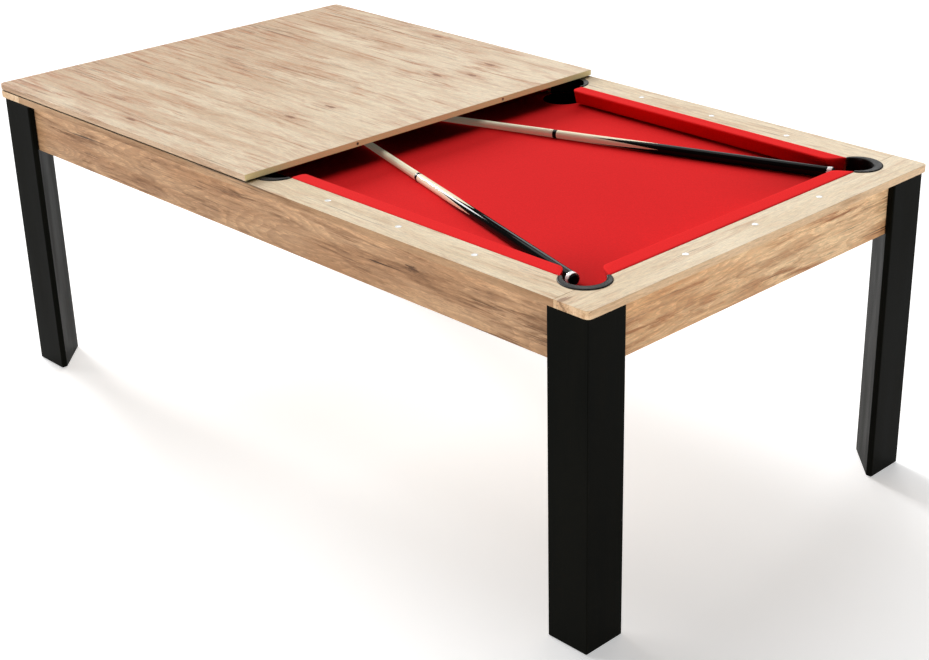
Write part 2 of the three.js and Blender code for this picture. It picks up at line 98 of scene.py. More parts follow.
class Paint:
    """A material and short calls for the nodes that pattern it. Lengths are in metres."""

    def __init__(self, name, **sockets):
        self.material = bpy.data.materials.new(name)
        self.material.use_nodes = True
        self.tree = self.material.node_tree
        self.shader = self.tree.nodes["Principled BSDF"]
        for socket, value in sockets.items():
            self.set(socket.replace("_", " "), value)
        self.place = self.add("TexCoord", output="Object")

    def set(self, socket, value):
        self.feed(self.shader.inputs[socket], value)

    def feed(self, socket, value):
        if isinstance(value, bpy.types.NodeSocket):
            self.tree.links.new(value, socket)
        else:
            socket.default_value = value

    def add(self, kind, inputs=None, output=0, **settings):
        node = self.tree.nodes.new("ShaderNode" + kind)
        for key, value in settings.items():
            setattr(node, key, value)
        for key, value in (inputs or {}).items():
            self.feed(node.inputs[key], value)
        return node.outputs[output]

    def math(self, operation, a, b=0.0, clamp=False):
        return self.add("Math", {0: a, 1: b}, operation=operation, use_clamp=clamp)

    def vector(self, operation, a, b):
        return self.add("VectorMath", {0: a, 1: b}, operation=operation)

    def mix(self, factor, a, b, blend="MIX"):
        inputs = {0: factor, 6: a, 7: b}
        return self.add("Mix", inputs, output=2, data_type="RGBA", blend_type=blend)

    def step(self, value, low, high, to_low=0.0, to_high=1.0):
        """A smooth step of value from to_low at low to to_high at high."""
        inputs = {0: value, 1: low, 2: high, 3: to_low, 4: to_high}
        return self.add("MapRange", inputs, interpolation_type="SMOOTHSTEP")

    def noise(self, size, place=None, detail=3.0, rough=0.5, twist=0.0):
        """Noise with spots of that size, or of (x, y, z) sizes."""
        sizes = (size,) * 3 if isinstance(size, (int, float)) else size
        scaled = self.vector("MULTIPLY", place or self.place, tuple(1 / s for s in sizes))
        inputs = {"Vector": scaled, "Scale": 1.0, "Detail": detail, "Roughness": rough}
        return self.add("TexNoise", {**inputs, "Distortion": twist})

    def parts(self, vector):
        """The X, Y and Z of a vector, or the red, green and blue of a colour."""
        return [self.add("SeparateXYZ", {0: vector}, output=i) for i in range(3)]

    def shaded(self, colour, tone):
        """The colour times a tone of grey."""
        grey = self.add("CombineXYZ", {0: tone, 1: tone, 2: tone})
        return self.mix(1.0, colour, grey, "MULTIPLY")

    def bump(self, height, depth, under=None):
        """Relief of that height in metres, over an earlier bump when under is given."""
        inputs = {"Height": height, "Distance": depth, "Strength": 1.0}
        if under:
            inputs["Normal"] = under
        return self.add("Bump", inputs)

    def facing(self, axis):
        """How far the surface faces along X, Y or Z, either way, from 0 to 1."""
        normal = self.add("NewGeometry", output="Normal")
        return self.math("ABSOLUTE", self.add("SeparateXYZ", {0: normal}, output=axis))


# ---- Wood --------------------------------------------------------------------------------------
# The colours of an oak board: its ground, the ground's shade, its brown streaks, its dark cracks.
OAK_TOP = (linear(240, 221, 190), linear(220, 192, 158), linear(190, 130, 88), linear(92, 62, 38))
OAK_RAIL = (linear(244, 226, 194), linear(232, 211, 176), linear(204, 160, 120), linear(114, 86, 64))
# The edge palettes paint the upright faces of boards darker than their tops: painted shade, darkest on
# the long rails' edges.
TOP_EDGE = (linear(220, 190, 158), linear(202, 168, 136), linear(170, 128, 96), linear(96, 70, 50))
LONG_EDGE = (linear(200, 160, 120), linear(180, 138, 98), linear(144, 102, 66), linear(80, 56, 36))
END_EDGE = (linear(246, 212, 172), linear(230, 193, 150), linear(194, 148, 106), linear(114, 82, 56))
# Two copies of one apron oak: the long aprons' palette is painted darker as painted shade, the end
# aprons' palette lighter as painted light.
OAK_APRON_SHADED = (linear(213, 171, 130), linear(189, 143, 102), linear(132, 91, 58), linear(48, 30, 18))
OAK_APRON_LIT = (linear(249, 212, 164), linear(227, 177, 125), linear(172, 112, 68), linear(56, 36, 22))
SHADE, BROWN, DARK = 1, 2, 3
SAWN = linear(240, 220, 162)
# Painted shade: the dark colour of the dining top's underside.
UNDERSIDE_SHADE = linear(92, 78, 64)
RINGS_PER_FIELD = 26.0
KNOT_SPACING = (0.34, 0.11)
KNOT_RARITY = 0.72  # the share of the places for a knot that have none


class Oak(Paint):
    """An oak board's grain, which runs along "X" or "Y".

    warm, rings and cracks say how strong its brown streaks, growth rings and dark cracks are. With
    drift the board grows darker and warmer towards -X: partly the wood's own colour, partly painted
    shade, as the +X end catches more reflected light."""

    def __init__(self, name, along, seed, warm, rings, cracks, drift=0.0):
        super().__init__(name)
        x, y, self.z = self.parts(self.place)
        long, wide = (x, y) if along == "X" else (y, x)
        self.long = self.math("ADD", long, seed)
        self.wide = self.math("ADD", wide, seed * 0.61)
        self.grain = self.add("CombineXYZ", {0: self.long, 1: self.wide, 2: self.z})
        self.broad = self.figure(0.42, 0.06, detail=3, twist=0.3)
        self.patch = self.figure(0.33, 0.045, detail=3, rough=0.6, twist=0.4)
        # Painted shade, with the wood's own drift: the board darkens and warms towards -X.
        if drift:
            change = self.both(self.math("ADD", x, 0.5), drift)
            self.patch = self.math("SUBTRACT", self.patch, change)
            self.broad = self.math("SUBTRACT", self.broad, self.both(change, 2.0))
        self.band = self.figure(0.20, 0.013, detail=6, rough=0.68, twist=0.5)
        self.fleck = self.figure(0.020, 0.0030, detail=5, rough=0.75, twist=0.5)
        self.dash = self.figure(0.022, 0.0022, detail=4, rough=0.7)
        self.hair = self.figure(0.03, 0.0011, detail=3, rough=0.6)
        core, halo = self.knots()
        spots = self.both(self.step(self.dash, 0.56, 0.72), 0.5 * cracks)
        self.layers = [  # how much of which colour lies over what is under it
            (self.step(self.broad, 0.34, 0.66), SHADE),
            (self.blushes(warm), BROWN),
            (self.both(self.streaks(), warm), BROWN),
            (self.both(self.growth_rings(), rings), BROWN),
            (spots, BROWN),
            (self.both(halo, warm), BROWN),
            (core, BROWN),
            (self.both(core, 0.5), DARK),
            (self.both(self.splits(), cracks), DARK),
        ]
        tone = self.step(self.fleck, 0.3, 0.7, 1 - 0.30 * cracks, 1 + 0.22 * cracks)
        self.tone = self.both(tone, self.step(self.hair, 0.3, 0.7, 0.95, 1.04))

    def figure(self, length, width, **more):
        """Noise in spots of that length along the grain and that width across it."""
        return self.noise((length, width, width), self.grain, **more)

    def both(self, a, b):
        return self.math("MULTIPLY", a, b)

    def growth_rings(self):
        """The contours of a slow field that is stretched along the grain."""
        field = self.figure(0.62, 0.085, detail=2, rough=0.4, twist=0.15)
        ring = self.math("FRACT", self.both(field, RINGS_PER_FIELD))
        late = self.both(self.step(ring, 0.15, 0.9), self.step(ring, 0.92, 1.0, 1.0, 0.0))
        return self.both(late, self.step(self.fleck, 0.35, 0.65))

    def streaks(self):
        patches = self.step(self.patch, 0.42, 0.64, 0.12, 1.0)
        return self.both(self.step(self.band, 0.46, 0.62), patches)

    def blushes(self, warm):
        blush = self.figure(0.16, 0.024, detail=4, rough=0.62, twist=0.7)
        return self.both(self.step(blush, 0.48, 0.64), self.both(self.patch, 0.8 * warm))

    def splits(self):
        """Long thin cracks, and where streaks lie thickest, dark clusters."""
        line = self.figure(0.30, 0.0060, detail=5, rough=0.62, twist=0.5)
        thick = self.math("ADD", self.both(self.patch, 0.6), self.both(self.band, 0.4))
        cluster = self.both(self.step(thick, 0.60, 0.70), 0.5)
        crack = self.both(self.step(line, 0.60, 0.66), self.step(self.patch, 0.44, 0.58, 0.2, 1.0))
        return self.math("MAXIMUM", crack, cluster)

    def knots(self):
        """A few small dark cores, each in a long warm halo."""
        along = self.both(self.long, 1 / KNOT_SPACING[0])
        across = self.both(self.math("ADD", self.wide, self.z), 1 / KNOT_SPACING[1])
        cell = self.add("CombineXYZ", {0: along, 1: across})
        inputs = {"Vector": cell, "Scale": 1.0}
        away = self.add("TexVoronoi", inputs, output="Distance", voronoi_dimensions="2D")
        pick = self.add("TexVoronoi", inputs, output="Color", voronoi_dimensions="2D")
        chosen = self.step(self.parts(pick)[0], KNOT_RARITY, KNOT_RARITY + 0.02)
        away = self.math("ADD", away, self.both(self.math("SUBTRACT", self.fleck, 0.5), 0.16))
        core = self.both(self.step(away, 0.03, 0.075, 1.0, 0.0), chosen)
        halo = self.both(self.step(away, 0.06, 0.30, 0.75, 0.0), chosen)
        return core, self.both(halo, self.step(self.band, 0.4, 0.6, 0.35, 1.0))

    def coloured(self, palette):
        colour = palette[0]
        for amount, layer in self.layers:
            colour = self.mix(amount, colour, palette[layer])
        return self.shaded(colour, self.tone)

    def panel_faces(self, colour):
        """The colour, with bare board on faces sawn across and painted shade on faces underneath."""
        dust = self.step(self.noise(0.0012, detail=4), 0.3, 0.7, 0.88, 1.06)
        sawn = self.step(self.facing("X"), 0.6, 0.9)
        colour = self.mix(sawn, colour, self.shaded(SAWN, dust))
        # Painted shade: faces that look down take the dark underside colour.
        height = self.parts(self.add("NewGeometry", output="True Normal"))[2]
        return self.mix(self.step(height, -0.9, -0.6), UNDERSIDE_SHADE, colour)


def oak(name, along, palette, edge=None, panel=False, **grain):
    """Oak board; edge is the palette of its upright faces, painted darker than its top as painted
    shade.
    """
    paint = Oak(name, along, **grain)
    colour = paint.coloured(palette)
    # Painted shade: faces that stand upright take the darker edge palette.
    if edge:
        colour = paint.mix(paint.step(paint.facing("Z"), 0.5, 0.9), paint.coloured(edge), colour)
    if panel:
        colour = paint.panel_faces(colour)
    paint.set("Base Color", colour)
    paint.set("Roughness", paint.step(paint.band, 0.3, 0.7, 0.42, 0.56))
    paint.set("Specular IOR Level", 0.25)
    relief = paint.math("ADD", paint.both(paint.hair, 0.6), paint.both(paint.dash, -0.4))
    paint.set("Normal", paint.bump(relief, 0.0003))
    return paint.material


def fibreboard(name):
    paint = Paint(name, Roughness=0.85)
    speck = paint.noise(0.0022, detail=4, rough=0.7)
    cloud = paint.noise(0.12, detail=3)
    colour = paint.mix(paint.step(speck, 0.3, 0.7), linear(142, 116, 84), linear(182, 154, 116))
    colour = paint.mix(paint.step(cloud, 0.3, 0.7, 0.0, 0.25), colour, linear(126, 104, 78))
    paint.set("Base Color", colour)
    paint.set("Normal", paint.bump(speck, 0.0003))
    return paint.material


# ---- Cloth and felt ----------------------------------------------------------------------------
def baize(name, dark, light, corner_shade=0.0):
    """Worsted billiard cloth: a fine twill under a short nap, darker by painted shade in the bed's
    corners.
    """
    paint = Paint(name, Roughness=0.95, Sheen_Weight=0.06, Sheen_Roughness=0.4)
    paint.set("Specular IOR Level", 0.05)
    paint.set("Sheen Tint", linear(255, 90, 80))
    inputs = {"Vector": paint.place, "Scale": 230.0, "Distortion": 1.2, "Detail": 1.0}
    twill = paint.add("TexWave", inputs, output="Fac", bands_direction="DIAGONAL")
    nap = paint.noise((0.0011, 0.0008, 0.0011), detail=3, rough=0.7)
    lay = paint.noise((0.5, 0.25, 0.3), detail=3)
    fuzz = paint.noise((0.0042, 0.0026, 0.003), detail=4, rough=0.7)
    colour = paint.mix(paint.step(nap, 0.25, 0.75), dark, light)
    colour = paint.mix(paint.step(lay, 0.3, 0.7, 0.0, 0.22), colour, dark)
    colour = paint.shaded(colour, paint.step(fuzz, 0.3, 0.7, 0.93, 1.06))
    # Painted shade: the bed's corners, round the corner pockets, are darkened by this amount.
    if corner_shade:
        x, y = (paint.math("ABSOLUTE", part) for part in paint.parts(paint.place)[:2])
        corner = paint.math("MULTIPLY", paint.step(x, 0.62, 1.0), paint.step(y, 0.10, 0.50))
        painted_shade_tone = paint.math("SUBTRACT", 1.0, paint.math("MULTIPLY", corner, corner_shade))
        colour = paint.shaded(colour, painted_shade_tone)
    paint.set("Base Color", colour)
    ribs, pile = paint.math("MULTIPLY", twill, 0.35), paint.math("MULTIPLY", nap, 0.65)
    paint.set("Normal", paint.bump(paint.math("ADD", ribs, pile), 0.00018))
    return paint.material


def felt(name):
    paint = Paint(name, Roughness=0.97, Sheen_Weight=0.3)
    tuft = paint.noise(0.0016, detail=5, rough=0.75, twist=0.8)
    paint.set("Base Color", paint.mix(tuft, linear(34, 34, 36), linear(86, 86, 88)))
    paint.set("Normal", paint.bump(tuft, 0.0006))
    return paint.material


# ---- Plastics, lacquer, rubber, metal ----------------------------------------------------------
def moulded(name, dark, light, roughness):
    """Moulded plastic or rubber with a fine grained skin."""
    paint = Paint(name)
    paint.set("Specular IOR Level", 0.12)
    skin = paint.noise(0.0007, detail=2, rough=0.6)
    cloud = paint.noise(0.03, detail=3)
    scuff = paint.noise((0.004, 0.0006, 0.002), detail=2, twist=1.0)
    colour = paint.mix(paint.step(cloud, 0.3, 0.7), dark, light)
    colour = paint.mix(paint.step(scuff, 0.7, 0.82, 0.0, 0.25), colour, linear(78, 78, 78))
    paint.set("Base Color", colour)
    paint.set("Roughness", paint.step(cloud, 0.3, 0.7, roughness - 0.06, roughness + 0.06))
    paint.set("Normal", paint.bump(skin, 0.00012))
    return paint.material


def lacquer(name):
    """Black satin paint over upright timber, with a trace of the grain in it."""
    paint = Paint(name, Roughness=0.4)
    grain = paint.noise((0.0016, 0.0016, 0.09), detail=3, rough=0.6)
    peel = paint.noise(0.0035, detail=2)
    cloud = paint.noise((0.05, 0.05, 0.3), detail=3)
    colour = paint.mix(paint.step(cloud, 0.3, 0.7), linear(9, 10, 7), linear(14, 14, 10))
    colour = paint.mix(paint.step(grain, 0.55, 0.75, 0.0, 0.3), colour, linear(26, 26, 21))
    paint.set("Base Color", colour)
    paint.set("Specular IOR Level", 0.02)
    paint.set("Roughness", paint.step(cloud, 0.3, 0.7, 0.34, 0.46))
    relief = paint.bump(grain, 0.00012)
    paint.set("Normal", paint.bump(peel, 0.0001, relief))
    return paint.material


def zinc(name):
    paint = Paint(name, Metallic=1.0)
    flake = paint.add("TexVoronoi", {"Vector": paint.place, "Scale": 260.0}, output="Color")
    tone = paint.parts(flake)[0]
    dull = paint.noise(0.02, detail=4)
    colour = paint.mix(tone, linear(150, 153, 156), linear(186, 188, 190))
    colour = paint.mix(paint.step(dull, 0.4, 0.8, 0.0, 0.4), colour, linear(128, 128, 126))
    paint.set("Base Color", colour)
    paint.set("Roughness", paint.step(dull, 0.3, 0.7, 0.28, 0.5))
    paint.set("Normal", paint.bump(tone, 0.00004))
    return paint.material


# ---- Cue finishes: made in the cue's own frame, with Z along the cue from its butt -------------
MAPLE = (linear(255, 248, 222), linear(246, 232, 194))


def maple_colour(paint):
    stripe = paint.noise((0.0025, 0.0025, 0.35), detail=4, rough=0.6, twist=0.2)
    fleck = paint.noise((0.0006, 0.0006, 0.006), detail=2)
    colour = paint.mix(paint.step(stripe, 0.35, 0.7), *MAPLE)
    return paint.mix(paint.step(fleck, 0.66, 0.8, 0.0, 0.35), colour, linear(196, 172, 128))


def varnish_and_glow(paint, colour):
    """Clear varnish over a colour that glows a little: painted light that brightens the pale wood."""
    paint.set("Base Color", colour)
    # Painted light: a faint emission in the wood's colour, though the wood is no lamp.
    paint.set("Emission Color", colour)
    paint.set("Emission Strength", 0.09)
    paint.set("Roughness", 0.06)
    paint.set("Specular IOR Level", 0.08)


def maple(name):
    paint = Paint(name)
    varnish_and_glow(paint, maple_colour(paint))
    return paint.material


def spliced(name, tips, base):
    """Maple with four black points: full black up to base, and the points' tips at tips."""
    paint = Paint(name)
    x, y, z = paint.parts(paint.place)
    angle = paint.math("ADD", paint.math("ARCTAN2", y, x), math.tau)
    quarter = paint.math("FRACT", paint.math("DIVIDE", angle, math.tau / 4))
    side = paint.math("ABSOLUTE", paint.math("SUBTRACT", quarter, 0.5))
    share = paint.math("POWER", paint.math("MULTIPLY", side, 2.0), 0.85)
    edge = paint.math("SUBTRACT", tips, paint.math("MULTIPLY", share, tips - base))
    wood = paint.step(paint.math("SUBTRACT", z, edge), -0.0004, 0.0004)
    stain = paint.noise((0.003, 0.003, 0.2), detail=3)
    black = paint.mix(paint.step(stain, 0.35, 0.7), linear(10, 11, 11), linear(20, 22, 22))
    varnish_and_glow(paint, paint.mix(wood, black, maple_colour(paint)))
    return paint.material


def glossy(name, colour, shade, roughness):
    paint = Paint(name, Coat_Weight=0.4, Coat_Roughness=0.1)
    cloud = paint.noise(0.006, detail=3)
    paint.set("Base Color", paint.mix(paint.step(cloud, 0.3, 0.7), colour, shade))
    paint.set("Roughness", paint.step(cloud, 0.3, 0.7, roughness - 0.04, roughness + 0.05))
    return paint.material


def chalked(name):
    paint = Paint(name, Roughness=0.95)
    dust = paint.noise(0.0009, detail=5, rough=0.8)
    colour = paint.mix(paint.step(dust, 0.35, 0.6), linear(52, 74, 112), linear(108, 142, 184))
    paint.set("Base Color", colour)
    paint.set("Normal", paint.bump(dust, 0.0004))
    return paint.material


# ---- Mesh helpers ------------------------------------------------------------------------------
def piece(name, points, faces, material, body, slot, replaces=(), place=None, sharp=40):
    mesh = bpy.data.meshes.new(name)
    mesh.from_pydata([tuple(p) for p in points], [], faces)
    made = bmesh.new()
    made.from_mesh(mesh)
    bmesh.ops.recalc_face_normals(made, faces=made.faces)
    made.to_mesh(mesh)
    made.free()
    mesh.shade_smooth()
    mesh.set_sharp_from_angle(angle=math.radians(sharp))
    mesh.materials.append(material)
    obj = bpy.data.objects.new(name, mesh)
    bpy.context.scene.collection.objects.link(obj)
    if place:
        obj.matrix_world = place
    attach(obj, body)
    if replaces:
        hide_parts(*replaces)
    return obj


def together(*shapes):
    """Several (points, faces) shapes as one."""
    points, faces = [], []
    for some_points, some_faces in shapes:
        start = len(points)
        points += some_points
        faces += [[start + i for i in face] for face in some_faces]
    return points, faces


def loft(rings):
    """A skin through rings of equally many points, with flat ends."""
    count = len(rings[0])
    points = [Vector(p) for ring in rings for p in ring]
    faces = []
    for r in range(len(rings) - 1):
        for i in range(count):
            j = (i + 1) % count
            faces.append([r * count + i, r * count + j, (r + 1) * count + j, (r + 1) * count + i])
    last = (len(rings) - 1) * count
    faces.append(list(range(count))[::-1])
    faces.append(list(range(last, last + count)))
    return points, faces


def turned(profile, sides):
    """A body turned about Z through (radius, z) points, which start and end on the axis."""
    points, rings = [], []
    for radius, z in profile:
        at = len(points)
        if radius < 1e-9:
            points.append(Vector((0, 0, z)))
            rings.append([at] * sides)
            continue
        for i in range(sides):
            angle = math.tau * i / sides
            points.append(Vector((radius * math.cos(angle), radius * math.sin(angle), z)))
        rings.append(list(range(at, at + sides)))
    faces = []
    for low, high in zip(rings, rings[1:]):
        for i in range(sides):
            j = (i + 1) % sides
            corners = [low[i], low[j], high[j], high[i]]
            faces.append(list(dict.fromkeys(corners)))
    return points, faces


def rounded(corners, steps=4):
    """(radius, z) points with each (radius, z, rounding) corner rounded."""
    path = []
    for i, (radius, z, rounding) in enumerate(corners):
        here = Vector((radius, z))
        if not rounding:
            path.append(here)
            continue
        before = (Vector(corners[i - 1][:2]) - here).normalized()
        after = (Vector(corners[i + 1][:2]) - here).normalized()
        start, end = here + before * rounding, here + after * rounding
        for k in range(steps + 1):
            t = k / steps
            path.append(start * (1 - t) ** 2 + here * 2 * t * (1 - t) + end * t * t)
    return [(max(p.x, 0.0), p.y) for p in path]


def outset(loop, distance):
    """A closed plan loop (counter-clockwise) moved outwards by a small distance."""
    moved = []
    for i, here in enumerate(loop):
        run = loop[(i + 1) % len(loop)] - loop[i - 1]
        moved.append(here + Vector((run.y, -run.x)).normalized() * distance)
    return moved


def upright(loop, levels):
    """A body whose plan is loop, through (z, outset) levels."""
    return loft([[(p.x, p.y, z) for p in (outset(loop, by) if by else loop)] for z, by in levels])


def arc(centre, radius, start, end, steps):
    angles = (start + (end - start) * i / steps for i in range(steps + 1))
    return [centre + Vector((math.cos(a), math.sin(a))) * radius for a in angles]


# ---- Pockets -----------------------------------------------------------------------------------
POCKET_WALL = 3.2 * MM  # of a cup, and of a rim's skirt inside the hole
RIM_RADIUS = {"corner": 56 * MM, "middle": 58 * MM}
RIM_SWEEP = {"corner": math.radians(107), "middle": math.radians(86)}
SKIRT_SHORTER = math.radians(6)
SHELF_DROP = 18 * MM  # from the rail's top to the ledge that a rim sits on
RIM_CROWN = (5.2 * MM, 2.3 * MM)  # width and height of the rounding along a rim's edges
CROWN_STEPS = 8
CUP_SIDES = 64
SEAM = 0.4 * MM  # eased edge along the shelf
SKIRT_GAP = 0.05 * MM
CUP_LIP = 747.2 * MM  # height of a cup's top, just under the cloth
POCKETS = ["back_right", "back_left", "front_left", "front_right", "back_middle", "front_middle"]


def pocket_facts(name):
    """The pocket's hole and its rim's outer circle, from the CAD boxes."""
    kind = "middle" if "middle" in name else "corner"
    low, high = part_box("pocket_cup_" + name)
    centre = ((low + high) / 2).xy
    hole = (high.x - low.x) / 2 - POCKET_WALL
    low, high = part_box("pocket_rim_" + name)
    radius = RIM_RADIUS[kind]
    sign = Vector((1 if centre.x >= -MM else -1, 1 if centre.y > 0 else -1))
    far = Vector((high.x if sign.x > 0 else low.x, high.y if sign.y > 0 else low.y))
    rim = far - sign * radius
    if kind == "middle":
        rim.x = centre.x
    outward = math.pi / 2 if kind == "middle" else math.pi / 4
    return {
        "kind": kind, "centre": centre, "hole": hole, "rim": rim, "sign": sign, "outward": outward,
    }


def crescent(rim, radius, hole_centre, hole, outward, sweep):
    """The plan of a rim between two circles, with round ends, in the +X +Y quarter."""
    def inner(angle):
        ray = Vector((math.cos(angle), math.sin(angle)))
        offset = rim - hole_centre
        along = offset.dot(ray)
        reach = -along + math.sqrt(along**2 - offset.length_squared + hole**2)
        return rim + ray * reach

    start, end = outward - sweep, outward + sweep
    outside = arc(rim, radius, start, end, 72)
    inside = [inner(end + (start - end) * i / 56) for i in range(57)]

    def cap(a, b):
        middle, half = (a + b) / 2, (b - a).length / 2
        first = math.atan2((a - middle).y, (a - middle).x)
        return arc(middle, half, first, first + math.pi, 12)[1:-1]

    return outside + cap(outside[-1], inside[0]) + inside + cap(inside[-1], outside[0])


def mirrored(loop, sign):
    """A +X +Y plan put in its own quarter, still counter-clockwise."""
    turned_loop = [Vector((p.x * sign.x, p.y * sign.y)) for p in loop]
    return turned_loop if sign.x * sign.y > 0 else turned_loop[::-1]


def make_rim(name, material):
    facts = pocket_facts(name)
    sign, radius = facts["sign"], RIM_RADIUS[facts["kind"]]
    centre = Vector((facts["centre"].x * sign.x, facts["centre"].y * sign.y))
    rim = Vector((facts["rim"].x * sign.x, facts["rim"].y * sign.y))
    sweep = RIM_SWEEP[facts["kind"]]
    low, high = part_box("pocket_rim_" + name)
    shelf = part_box("long_rail_back")[1].z - SHELF_DROP
    lip = mirrored(crescent(rim, radius, centre, facts["hole"], facts["outward"], sweep), sign)
    skirt_plan = crescent(centre, facts["hole"] + POCKET_WALL, centre, facts["hole"],
                          facts["outward"], sweep - SKIRT_SHORTER)
    wide, deep = RIM_CROWN
    levels = [(shelf, -SEAM), (shelf + SEAM, 0.0)]
    for i in range(CROWN_STEPS + 1):
        angle = math.pi / 2 * i / CROWN_STEPS
        levels.append((high.z - deep + deep * math.sin(angle), wide * (math.cos(angle) - 1)))
    skirt = upright(mirrored(skirt_plan, sign), [(low.z, 0.0), (shelf - SKIRT_GAP, 0.0)])
    points, faces = together(upright(lip, levels), skirt)
    piece("rim_" + name, points, faces, material, "table", "black_plastic", ["pocket_rim_" + name])


def cup_profile(hole, bottom):
    """(radius, height) points of a cup: a round tub with a thicker lip and a raised ring inside."""
    outer = hole + POCKET_WALL
    floor = outer - 8 * MM
    lip, well = hole + 2.2 * MM, bottom + POCKET_WALL
    return rounded([
        (0, bottom, 0),
        (floor - 6 * MM, bottom, 3 * MM),
        (floor, bottom + 8 * MM, 3 * MM),
        (outer - 1.2 * MM, CUP_LIP - 14 * MM, 1.5 * MM),
        (lip, CUP_LIP - 11 * MM, 1.0 * MM),
        (lip, CUP_LIP, 0.8 * MM),
        (hole, CUP_LIP, 0.8 * MM),
        (floor - 3 * MM, bottom + 12 * MM, 6 * MM),
        (floor - 12 * MM, well + 1 * MM, 4 * MM),
        (14 * MM, well + 1 * MM, 0.8 * MM),
        (12 * MM, well, 0.8 * MM),
        (0, well, 0),
    ])


def make_cup(name, material):
    facts = pocket_facts(name)
    low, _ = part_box("pocket_cup_" + name)
    points, faces = turned(cup_profile(facts["hole"], low.z), CUP_SIDES)
    place = Matrix.Translation((facts["centre"].x, facts["centre"].y, 0))
    piece("cup_" + name, points, faces, material, "table", "black_plastic",
          ["pocket_cup_" + name], place)


# ---- Bed cloth: one stretched sheet that rolls down into the pockets ---------------------------
CLOTH_INSET = 2.6 * MM  # of the cloth's turned-down edge, from the hole
ROLL = 2.4 * MM  # radius it turns down with
ROLL_ANGLES = (0.3, 0.6, 0.9, 1.2, math.pi / 2)
TUCK = 10 * MM  # how far down it reaches
CLOTH_THICK = 0.9 * MM
HOLE_STEPS = 64
CLOTH_GRID = 45 * MM
EDGE_CLEAR, CLIP_CLEAR, HOLE_CLEAR = 10 * MM, 15 * MM, 12 * MM  # of the grid, from the outline


def cloth_plan(half, corner_sum, holes):
    """Plan points and edges of a board with clipped corners and holes, and a grid inside it."""
    clip = Vector((corner_sum - half.y, corner_sum - half.x))
    quarter = [(half.x, clip.y), (clip.x, half.y)]
    outline = [(half.x, -clip.y), *quarter, (-clip.x, half.y)]
    outline += [(-x, -y) for x, y in outline]
    plan = [Vector(p) for p in outline]
    edges = [(i, (i + 1) % len(plan)) for i in range(len(plan))]
    for centre, wide in holes:
        start = len(plan)
        plan += arc(centre, wide, 0, math.tau, HOLE_STEPS)[:-1]
        edges += [(start + i, start + (i + 1) % HOLE_STEPS) for i in range(HOLE_STEPS)]
    columns, rows = (int(side / CLOTH_GRID) + 1 for side in half)
    for i in range(-columns, columns + 1):
        for j in range(-rows, rows + 1):
            spot = Vector((i * CLOTH_GRID, j * CLOTH_GRID))
            inside = abs(spot.x) < half.x - EDGE_CLEAR and abs(spot.y) < half.y - EDGE_CLEAR
            inside = inside and abs(spot.x) + abs(spot.y) < corner_sum - CLIP_CLEAR
            if inside and all((spot - c).length > wide + HOLE_CLEAR for c, wide in holes):
                plan.append(spot)
    return plan, edges, len(outline)


def roll_down(points, faces, rim, centre, wide, top):
    """Carries the sheet round the hole's edge and down into the pocket, from the rim's points."""
    drops = [(wide - ROLL * math.sin(a), top - ROLL * (1 - math.cos(a))) for a in ROLL_ANGLES]
    drops.append((wide - ROLL, top - TUCK))
    for radius, z in drops:
        ring = list(range(len(points), len(points) + HOLE_STEPS))
        points += [Vector((*p, z)) for p in arc(centre, radius, 0, math.tau, HOLE_STEPS)[:-1]]
        for i in range(HOLE_STEPS):
            j = (i + 1) % HOLE_STEPS
            faces.append([rim[i], rim[j], ring[j], ring[i]])
        rim = ring


def make_bed_cloth(material):
    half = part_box("bed_board")[1].xy
    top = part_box("bed_cloth")[1].z
    corner_sum = max(abs(v.co.x) + abs(v.co.y) for v in NODES["bed_board"].data.vertices)
    holes = []
    for name in POCKETS:
        facts = pocket_facts(name)
        holes.append((facts["centre"], facts["hole"] + CLOTH_INSET + ROLL))
    plan, edges, first_hole = cloth_plan(half, corner_sum, holes)
    flat, _, triangles, origin, _, _ = geometry.delaunay_2d_cdt(plan, edges, [], 0, 1e-7)
    index = {old: new for new, olds in enumerate(origin) for old in olds}
    faces = []
    for triangle in triangles:
        middle = sum((flat[i] for i in triangle), Vector((0, 0))) / 3
        inner = math.cos(math.pi / HOLE_STEPS)
        if all((middle - c).length > wide * inner for c, wide in holes):
            faces.append(list(triangle))
    points = [Vector((*p, top)) for p in flat]
    for number, (centre, wide) in enumerate(holes):
        start = first_hole + number * HOLE_STEPS
        rim = [index[start + i] for i in range(HOLE_STEPS)]
        roll_down(points, faces, rim, centre, wide, top)
    cloth = piece("bed_cloth_sheet", points, faces, material, "table", "cloth", ["bed_cloth"], sharp=60)
    if cloth.data.polygons[0].normal.z < 0:
        cloth.data.flip_normals()
    thick = cloth.modifiers.new("thickness", "SOLIDIFY")
    thick.thickness = CLOTH_THICK
    thick.offset = -1


# ---- Cushions ----------------------------------------------------------------------------------
# Where a cushion's end lies at its back and at its nose, inwards from its CAD box.
CORNER_END = (-4 * MM, 21 * MM)
SIDE_END = (0.0, 0.0)
CUSHION_STEP = 0.02
CROWN = 1.2 * MM  # how far the cloth stands above the rail
NOSE_RADIUS = 2.6 * MM
NOSE_SWEEP = (math.radians(-9), math.radians(90))
NOSE_STEPS = 10
UNDERCUT = 7 * MM  # of the face, from the nose down to the bed
LONG_NOSE = -2.5 * MM  # how far the nose of a long cushion is from its CAD box
END_NOSE = 2 * MM
NOSE_CORNER = 15 * MM  # rounding of a nose's end, in plan
END_LEAN = 0.25  # how much an end slants back towards its foot
END_EDGE_RADIUS = 2.4 * MM
END_EDGE_ANGLES = (0.0, 0.4, 0.8, 1.2, math.pi / 2)
WAVE = 0.22 * MM  # of the cloth along the nose
WAVE_ABOVE = 15 * MM
SOLE_SHARES = (0.3, 0.6, 0.85)
FACE_SHARES = (0.2, 0.4, 0.6, 0.8)
TOP_SHARES = (0.06, 0.12, 0.2, 0.3, 0.42, 0.58, 0.75, 0.92)


